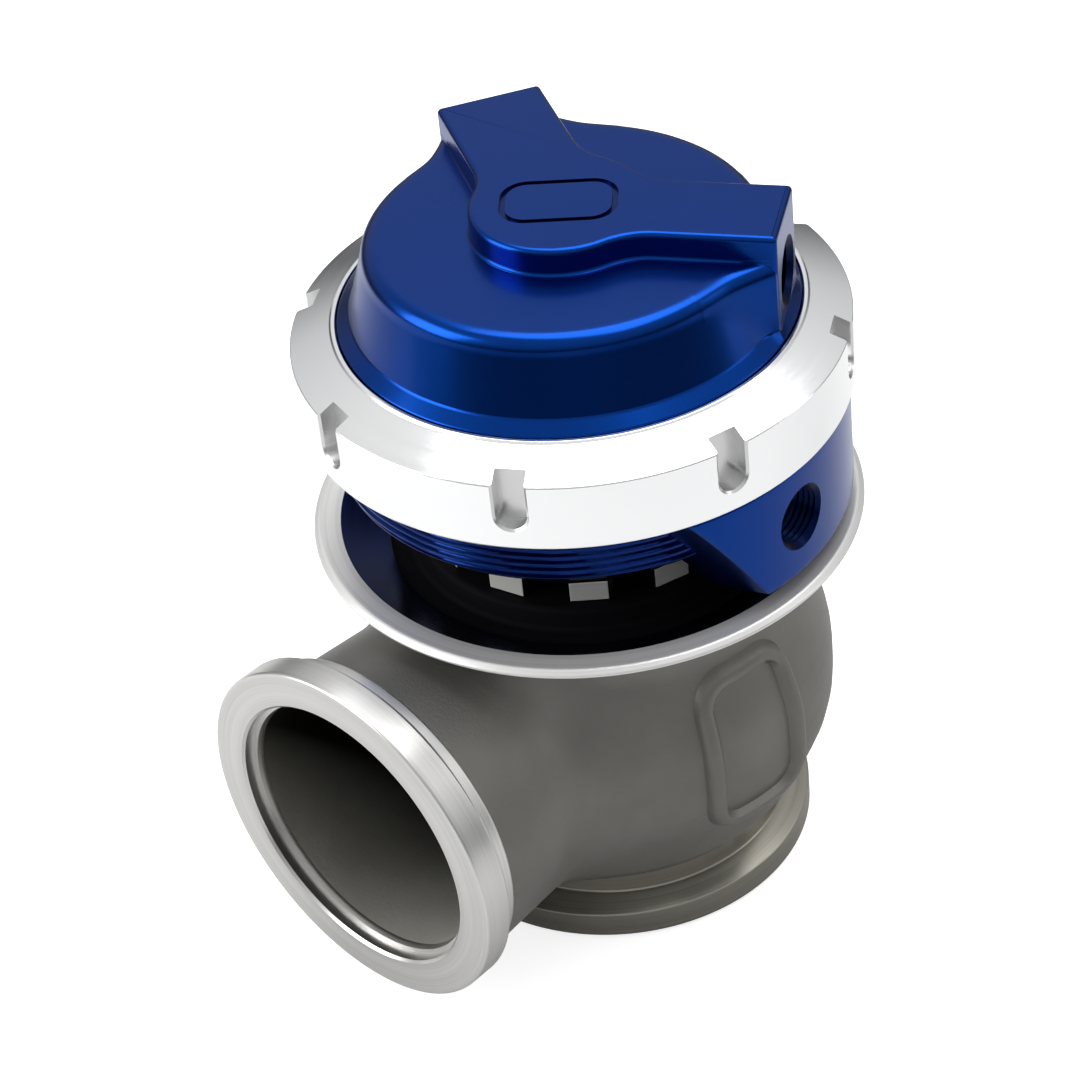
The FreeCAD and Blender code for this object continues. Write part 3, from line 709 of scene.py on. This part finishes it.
# %% A tree that sets copies of one piece round the valve axis
def round_the_axis(material):
    """Geometry Nodes: Count copies of a block, Radius out and Height up, turned by Phase."""
    tree = bpy.data.node_groups.new("round the axis", "GeometryNodeTree")
    for label, kind in (("Count", "Int"), ("Radius", "Float"), ("Height", "Float"), ("Phase", "Float"),
                        ("Size", "Vector")):
        tree.interface.new_socket(name=label, in_out="INPUT", socket_type="NodeSocket" + kind)
    tree.interface.new_socket(name="Geometry", in_out="OUTPUT", socket_type="NodeSocketGeometry")
    given = node(tree, "NodeGroupInput").outputs

    def about_z(angle):
        """A rotation about the valve axis."""
        euler = node(tree, "ShaderNodeCombineXYZ", {2: angle}).outputs[0]
        return node(tree, "FunctionNodeEulerToRotation", {0: euler}).outputs[0]

    share = maths(tree, "DIVIDE", node(tree, "GeometryNodeInputIndex").outputs[0], given["Count"])
    circle = node(tree, "GeometryNodeMeshCircle", {"Vertices": given["Count"], "Radius": given["Radius"]},
                  fill_type="NONE")
    block = node(tree, "GeometryNodeMeshCube", {"Size": given["Size"]})
    copies = node(tree, "GeometryNodeInstanceOnPoints", {
        "Points": circle.outputs[0], "Instance": block.outputs[0],
        "Rotation": about_z(maths(tree, "MULTIPLY", share, 2 * math.pi))})
    up = node(tree, "ShaderNodeCombineXYZ", {2: given["Height"]})
    place = node(tree, "GeometryNodeTransform", {
        "Geometry": copies.outputs[0], "Translation": up.outputs[0], "Rotation": about_z(given["Phase"])})
    real = node(tree, "GeometryNodeRealizeInstances", {0: place.outputs[0]})
    paint = node(tree, "GeometryNodeSetMaterial", {0: real.outputs[0], "Material": material})
    node(tree, "NodeGroupOutput", {0: paint.outputs[0]})
    return tree


def copies_of_block(name, material, bevel, **sizes):
    """Runs the tree with named sizes (in metres) and returns the copies as one plain mesh."""
    holder = bpy.data.objects.new(name, bpy.data.meshes.new(name))
    bpy.context.scene.collection.objects.link(holder)
    nodes = holder.modifiers.new("copies", "NODES")
    nodes.node_group = round_the_axis(material)
    for item in nodes.node_group.interface.items_tree:
        if item.name in sizes:
            nodes[item.identifier] = sizes[item.name]
    edge = holder.modifiers.new("edge", "BEVEL")
    edge.width, edge.segments = bevel, 3
    return baked(holder)


print("a block's copies are set round the axis by one tree")

# %% Spacer ring and its tabs
# Painted shade: the ring and the tabs are near black, except the tabs' outer faces, which keep the pale finish.
spacer = turned("spacer", [(17.0, 64.9), (24.4, 64.9, 0.3), (24.4, 66.6, 0.3), (17.0, 66.6)], [DISH_WELL_PAINTED_SHADE, TABS])
joined(spacer, copies_of_block("tabs", DISH_WELL_PAINTED_SHADE, 0.3 * MM, Count=12, Radius=20.6 * MM, Height=63.2 * MM,
                               Phase=math.radians(12.5), Size=(7.2 * MM, 5.9 * MM, 3.56 * MM)))
for face in spacer.data.polygons:
    out = Vector((face.center.x, face.center.y, 0)).normalized()
    if face.center.z < 64.8 * MM and face.normal.dot(out) > 0.9:
        face.material_index = 1
dressed(sharpened(spacer, 35), "machined_stainless", "spacer_ring")
print("spacer: %d faces" % len(spacer.data.polygons))

# %% [markdown]
# ## Actuator base
# The base is an anodised cup with a coarse outside thread that the collar runs on. The thread is a real
# helix here: the lathe grid's radius follows a ridge whose height depends on the angle. A wide block on
# one side carries two hose ports.

# %% The threaded cup
thread_pitch, thread_deep = 1.25, 0.5
thread_r, thread_low, thread_high, thread_points = 36.4, 75.6, 85.2, 78


def ridge(turn, z):
    """Depth below the crest of a trapezoid thread at an angle and a height."""
    phase = (z / thread_pitch - turn / (2 * np.pi)) % 1.0
    return thread_deep * np.clip((np.abs(phase - 0.5) - 0.13) / 0.2, 0, 1)


def threaded_cup(segments=400):
    below = rounded([(7.5, 62.6), (11.0, 62.6, 0.6), (12.0, 67.4, 1.0), (25.6, 67.4, 0.8), (34.4, 73.6, 3.0),
                     (35.9, 75.1, 0.3), (thread_r - thread_deep, thread_low)])[:-1]
    heights = np.linspace(thread_low, thread_high, thread_points)
    thread = np.stack([np.full(thread_points, thread_r), heights], axis=1)
    wall_r = thread_r - 0.15
    above = rounded([(wall_r, thread_high + 0.2), (wall_r, 90.5, 0.3), (34.5, 90.5, 0.2), (34.5, 89.5),
                     (32.9, 89.5), (32.9, 90.5, 0.2), (31.0, 90.5, 0.4), (31.0, 71.0, 2.0), (9.6, 71.0, 0.2),
                     (9.6, 70.2), (7.5, 70.2)])
    r, z = np.concatenate([below, thread, above]).T[:, None, :]
    cut = (np.arange(r.size) >= len(below)) & (np.arange(r.size) < len(below) + thread_points)
    turn = full_circle(segments)
    return spun("base", turn, r - np.where(cut[None], ridge(turn, z), 0), z, BLUE_TURNED)


cup = threaded_cup()
print("threaded cup: %d faces" % len(cup.data.polygons))

# %% The port block, and its two ports
block_degrees, block_low, block_high, block_r, block_back = 24.0, 65.3, 83.6, 40.0, 33.2


def quads_between(a, b):
    """Quads between two rows of vertex numbers."""
    return np.stack([a[:-1], a[1:], b[1:], b[:-1]], axis=1)


def port_block(rows=12, columns=60):
    """A block with slanted sides, a face on the port radius and an undercut foot."""
    heights = np.linspace(block_low, block_high, rows)
    half = 20.6 + (heights - block_low) * 9.0 / 17.3
    y = np.linspace(-half, half, columns, axis=1)
    z = heights[:, None] + 0 * y
    inner = block_back + np.maximum(block_low + 2.4 - z, 0) * 1.2
    sheets = [np.sqrt(np.maximum(inner ** 2 - y ** 2, 12.0 ** 2)), np.sqrt(block_r ** 2 - y ** 2)]
    verts = np.stack([np.stack([x, y, z], axis=-1) for x in sheets]).reshape(-1, 3)
    at = np.arange(2 * rows * columns).reshape(2, rows, columns)
    faces = [quads_between(at[side, row], at[side, row + 1]) for side in (0, 1) for row in range(rows - 1)]
    faces += [quads_between(at[0, row], at[1, row]) for row in (0, -1)]
    faces += [quads_between(at[0, :, column], at[1, :, column]) for column in (0, -1)]
    block = piece("block", verts, np.concatenate(faces), BLUE)
    edge = block.modifiers.new("edge", "BEVEL")
    edge.limit_method, edge.angle_limit, edge.width, edge.segments = "ANGLE", math.radians(40), 0.45 * MM, 3
    return swung(baked(block), block_degrees)


joined(cup, port_block())
for side in (-1, 1):
    milled(cup, port_cutter(block_degrees + 20 * side, 74.7, block_r, 7.0, 3.4, 29.5))
dressed(sharpened(cup, 35), "blue_anodised", "actuator_base")
print("base with its ports: %d faces" % len(cup.data.polygons))

# %% [markdown]
# ## Locking collar
# The collar is polished aluminium with a sloping shoulder and eight milled slots for a pin wrench. Each
# slot is cut by one stadium-shaped cutter whose mouth widens by a hair, which leaves the broken edge
# that catches the light.

# %% One slot cutter, wrapped on the collar's radius
def slot_cutter(degrees, width=4.5, foot=87.4, top=102.0):
    """A stadium that grows a little towards the collar's outside, as (radius, growth) levels say."""
    half = width / 2
    middle = foot + half
    bend = [(half * math.cos(a), middle + half * math.sin(a)) for a in np.linspace(math.pi, 2 * math.pi, 17)]
    loops = []
    for radius, grow in ((38.2, 0.0), (40.45, 0.0), (40.8, 0.35), (42.0, 0.6)):
        loop = []
        for u, z in [(-half, top)] + bend + [(half, top)]:
            away = Vector((u, min(z - middle, 0.0))).normalized()
            s = (u + away.x * grow) / radius
            loop.append((radius * math.cos(s), radius * math.sin(s), z + away.y * grow))
        loops.append(loop)
    return swung(lofted("slot", loops, POCKET), degrees)


print("one cutter for the eight slots")

# %% Turn the collar and mill it
collar = turned("collar", [
    (36.46, 84.5, 0.1), (36.96, 84.0, 0.15), (40.8, 84.0, 0.55), (40.8, 94.7, 0.3), (34.7, 97.55, 0.3),
    (34.4, 97.9, 0.15), (33.8, 97.9, 0.2), (33.8, 94.9, 0.1), (36.9, 94.9), (36.9, 90.3), (36.46, 90.3)],
    POLISH, segments=320)
milled(collar, *(slot_cutter(-15 + 45 * k) for k in range(8)))
dressed(sharpened(collar, 30), "polished_aluminium", "lock_collar")
print("collar: %d faces" % len(collar.data.polygons))

# %% [markdown]
# ## Cap
# The cap is milled from bar: a deep cup whose deck runs out to the ends of two arms, and on it a raised
# Y-shaped boss that carries a port in the end of each arm. Deck and wall are a grid of angle against
# profile, because seen from above the outline has one radius for every angle.

# %% The deck's outline
arms = ((30.0, (7.3, 7.0)), (150.0, (7.2, 8.8)))
arm_reach, lobe_reach, deck_z, lobe_spread, lobe_rim = 32.2, 32.05, 110.5, 36.0, 28.4


def lobe_radius(turn):
    """Radius of the deck where it runs out to an arm, zero elsewhere."""
    reach = np.zeros_like(turn)
    for axis, halves in arms:
        local = (turn - math.radians(axis) + np.pi) % (2 * np.pi) - np.pi
        for side, half in zip((-1, 1), halves):
            edge = math.radians(side * lobe_spread)
            rim = np.array([math.cos(edge), math.sin(edge)])
            corner = np.array([lobe_reach, side * half])
            lean = rim @ corner
            rho = (lobe_rim ** 2 - 2 * lobe_rim * lean + corner @ corner) / (2 * (lean - lobe_rim))
            centre = rim * (lobe_rim + rho)
            ahead = np.cos(local) * centre[0] + np.sin(local) * centre[1]
            arc = ahead - np.sqrt(np.maximum(ahead ** 2 - centre @ centre + rho ** 2, 0))
            end = lobe_reach / np.maximum(np.cos(local), 0.2)
            here = (local * side >= 0) & (np.abs(local) <= math.radians(lobe_spread))
            reach = np.where(here, np.minimum(arc, end), reach)
    return reach


def soft_max(a, b, blend):
    """The larger of two, rounded where they cross."""
    mix = np.clip(0.5 + 0.5 * (a - b) / blend, 0, 1)
    return b + (a - b) * mix + blend * mix * (1 - mix)


print("deck reach at an arm %.1f mm" % lobe_radius(np.array([math.radians(30.0)]))[0])

# %% Deck, wall and flange of the cap
rim_top, wall_foot, wall_flare = 28.9, 99.6, 2.6


def cap_shell(segments=720, edge=2.3):
    """Columns of the lathe grid from the middle of the deck out, down the wall and up the inside."""
    turn = full_circle(segments)
    lobe = lobe_radius(turn)
    rim = soft_max(rim_top + 0 * turn, lobe, 1.0)
    shoulder = deck_z - edge
    columns = [((rim - edge) * t, deck_z) for t in (0.0, 0.35, 0.7, 0.9, 0.97)]
    columns += [(rim - edge + edge * math.sin(a), shoulder + edge * math.cos(a))
                for a in np.linspace(0, math.pi / 2, 9)]
    for z in np.linspace(shoulder, wall_foot, 12)[1:]:
        cone = rim_top + (shoulder - z) * wall_flare / (shoulder - wall_foot)
        columns.append((soft_max(cone + 0 * turn, lobe, 1.0), z))
    tail = rounded([(31.5, 99.6), (31.6, 99.4, 1.0), (33.55, 97.9, 0.4), (33.55, 94.4), (36.0, 94.4, 0.3),
                    (36.0, 91.52, 0.4), (30.6, 91.52, 0.2), (30.6, 94.5, 3), (28.2, 98.5, 6),
                    (25.6, 106.25, 1.5), (0.0, 106.25)])
    for r, z in tail[1:]:
        r = r + 0 * turn
        columns.append((soft_max(r, lobe, 1.0) if z > 97.95 and r[0] > 31.5 else r, z))
    r = np.concatenate([r for r, z in columns], axis=1)
    return spun("cap", turn, r, np.array([z for r, z in columns])[None], BLUE, closed=False)


cap = cap_shell()
print("cap shell: %d faces" % len(cap.data.polygons))

# %% The raised boss
hub_r, hub_blend = 13.0, 10.0


def crotch_reach(half):
    """How far along an arm's side the crotch arc ends."""
    return math.sqrt((hub_r + hub_blend) ** 2 - (half + hub_blend) ** 2)


def boss_line():
    """Outline of the Y seen from above: a hub, two arms, and an arc in each crotch."""
    line = []
    for axis, halves in arms:
        turn = math.radians(axis)
        for side, half in zip((-1, 1), halves):
            along = crotch_reach(half)
            centre = Vector((along, side * (half + hub_blend)))
            from_hub = -centre.normalized() * hub_blend
            to_arm = Vector((0, -side * hub_blend))
            sense = 1 if from_hub.cross(to_arm) > 0 else -1
            arm = []
            for t in np.linspace(0, sense * from_hub.angle(to_arm), 14):
                c, s = math.cos(t), math.sin(t)
                arm.append((centre.x + from_hub.x * c - from_hub.y * s,
                            centre.y + from_hub.x * s + from_hub.y * c))
            arm += [(along + (arm_reach - along) * t, side * half) for t in (0.35, 0.7)]
            arm.append((arm_reach, side * half, 0.7))
            if side > 0:
                arm.reverse()
            c, s = math.cos(turn), math.sin(turn)
            line += [(u * c - v * s, u * s + v * c, *corner) for u, v, *corner in arm]
        start = math.atan2(line[-1][1], line[-1][0]) % (2 * math.pi)
        next_axis, next_halves = arms[1] if axis == arms[0][0] else (arms[0][0] + 360.0, arms[0][1])
        stop = math.radians(next_axis) - math.atan2(next_halves[0] + hub_blend, crotch_reach(next_halves[0]))
        count = max(2, int(math.degrees(stop - start) / 4))
        line += [(hub_r * math.cos(t), hub_r * math.sin(t)) for t in np.linspace(start, stop, count + 1)[1:-1]]
    return rounded(line)


def at_height(line, z):
    return np.column_stack([line, np.full(len(line), z)])


def boss(foot_z=98.2, cove=0.6, edge=0.8):
    """Lofts the Y: a cove where it meets the deck, which fades out at the arms' ends, and a rounded top."""
    line = boss_line()
    ahead, behind = np.roll(line, -1, axis=0) - line, line - np.roll(line, 1, axis=0)
    side = ahead / np.linalg.norm(ahead, axis=1)[:, None] + behind / np.linalg.norm(behind, axis=1)[:, None]
    out = np.stack([side[:, 1], -side[:, 0]], axis=1) / np.linalg.norm(side, axis=1)[:, None]
    flare = np.clip((29.0 - np.hypot(line[:, 0], line[:, 1])) / 2.0, 0, 1)[:, None]
    levels = [(foot_z, 0.0, 0.0), (deck_z - 0.6, 0.0, 0.1), (deck_z - 0.2, 0.0, 0.42)]
    levels += [(deck_z + cove - cove * math.cos(a), 0.0, cove - cove * math.sin(a))
               for a in np.linspace(0.5, math.pi / 2, 6)]
    levels += [(cap_top - edge + edge * math.sin(a), edge - edge * math.cos(a), 0.0)
               for a in np.linspace(0, math.pi / 2, 7)]
    loops = [at_height(line + out * (foot * flare - inset), z) for z, inset, foot in levels]
    return lofted("boss", loops, BLUE)


joined(cap, boss())
milled(cap, turned("spring_room", [
    (0.0, 91.0), (30.62, 91.0), (30.62, 94.5, 3), (28.22, 98.5, 6), (25.62, 106.27, 1.5), (0.0, 106.27)],
    BLUE_TURNED, segments=720))
milled(cap, *(port_cutter(axis, 104.6, arm_reach, 6.4, 2.6, 22.0) for axis, halves in arms))
print("cap with its boss: %d faces" % len(cap.data.polygons))

# %% A plain engraved line on the boss
def engraved_loop(wide, tall, corner, line, deep, degrees):
    """A ring-shaped cutter: a rounded rectangle's line, pressed into the top of the boss."""
    low, high = cap_top - deep, cap_top + 0.5
    inner, outer = (rounded_rectangle(wide + 2 * grow, tall + 2 * grow, corner + grow)
                    for grow in (-line / 2, line / 2))
    ring = [at_height(inner, low), at_height(inner, high), at_height(outer, high), at_height(outer, low)]
    return swung(piece("mark", np.concatenate(ring), ring_faces(4, len(inner)), BLUE_TURNED), degrees)


milled(cap, engraved_loop(16.0, 10.0, 3.5, 0.9, 0.5, 40.0))
dressed(sharpened(cap, 22), "blue_anodised", "actuator_cap")
print("finished cap: %d faces" % len(cap.data.polygons))

# %% [markdown]
# ## Inside the actuator
# Two springs press the cup, the diaphragm and the stem down. A helix is a rule, so each wire is swept
# by formula.

# %% Springs and the stack on the stem
def coil(name, mean_r, wire_r, turns, low, high, phase, dead=0.75, around=14):
    """A wire swept along a helix whose last coils, dead of a turn each, close up flat."""
    t = np.linspace(0, turns, int(turns * 56) + 1)
    first, last, rise = low + wire_r + 0.05, high - wire_r - 0.05, 2 * wire_r * 1.02 * dead
    free = first + rise + (last - first - 2 * rise) * (t - dead) / (turns - 2 * dead)
    z = np.where(t < dead, first + rise * t / dead,
                 np.where(t > turns - dead, last - rise * (turns - t) / dead, free))[:, None]
    angle = np.radians(phase) + 2 * np.pi * t[:, None]
    ring = np.linspace(0, 2 * np.pi, around, endpoint=False)[None]
    r = mean_r + wire_r * np.cos(ring)
    loops = np.stack([r * np.cos(angle), r * np.sin(angle), z + wire_r * np.sin(ring)], axis=-1)
    return lofted(name, loops, SPRING)


for obj, node_name in ((coil("spring_outer", 19.5, 1.7, 4.5, 78.62, 105.0, 40), "outer_spring"),
                       (coil("spring_inner", 12.4, 1.2, 6.0, 78.62, 105.0, 200), "inner_spring")):
    dressed(obj, "spring_steel", node_name)
    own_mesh(obj)
    print("%s: %d faces" % (obj.name, len(obj.data.polygons)))

dressed(turned("cup_washer", [
    (3.05, 77.0), (24.0, 77.0, 1.6), (24.0, 88.0, 0.5), (22.8, 88.0, 0.5), (22.8, 78.6, 1.0), (3.05, 78.6)],
    ALLOY), "plain_aluminium", "spring_cup")
dressed(turned("retainer", [
    (3.05, 74.02), (17.5, 74.02, 0.5), (20.5, 75.2, 0.5), (20.5, 75.98), (3.05, 75.98)],
    ALLOY), "plain_aluminium", "lower_retainer")
dressed(turned("seat_of_springs", [
    (10.4, 105.0, 0.3), (14.1, 105.0, 0.3), (14.6, 102.6, 0.4), (16.6, 102.6, 0.4), (17.1, 105.0, 0.3),
    (23.4, 105.0, 0.4), (23.4, 106.2), (10.4, 106.2)], ALLOY), "plain_aluminium", "spring_seat")

# %% The diaphragm
roll_r, roll_z = 27.3, 91.0


def roll(radius, margin, count):
    """An arc of the diaphragm's rolling fold, from the inside out."""
    return [(roll_r - radius * math.cos(a), roll_z + radius * math.sin(a))
            for a in np.linspace(margin, math.pi - margin, count)]


def diaphragm_line():
    crown = [(3.1, 76.0), (25.1, 76.0, 1.2), (25.1, roll_z)]
    clamp = [(29.5, roll_z), (29.5, 90.52), (33.0, 90.52), (33.0, 89.6), (34.4, 89.6), (34.4, 91.48),
             (30.5, 91.48), (30.5, roll_z)]
    flat = [(24.1, roll_z), (24.1, 76.98, 0.4), (3.1, 76.98)]
    return crown + roll(2.2, 0.2, 12) + clamp + roll(3.2, 0.15, 14)[::-1] + flat


skirt = turned("rolling_diaphragm", diaphragm_line(), RUBBER, segments=200)
dressed(skirt, "diaphragm_rubber", "diaphragm")
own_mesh(skirt)
print("diaphragm: %d faces" % len(skirt.data.polygons))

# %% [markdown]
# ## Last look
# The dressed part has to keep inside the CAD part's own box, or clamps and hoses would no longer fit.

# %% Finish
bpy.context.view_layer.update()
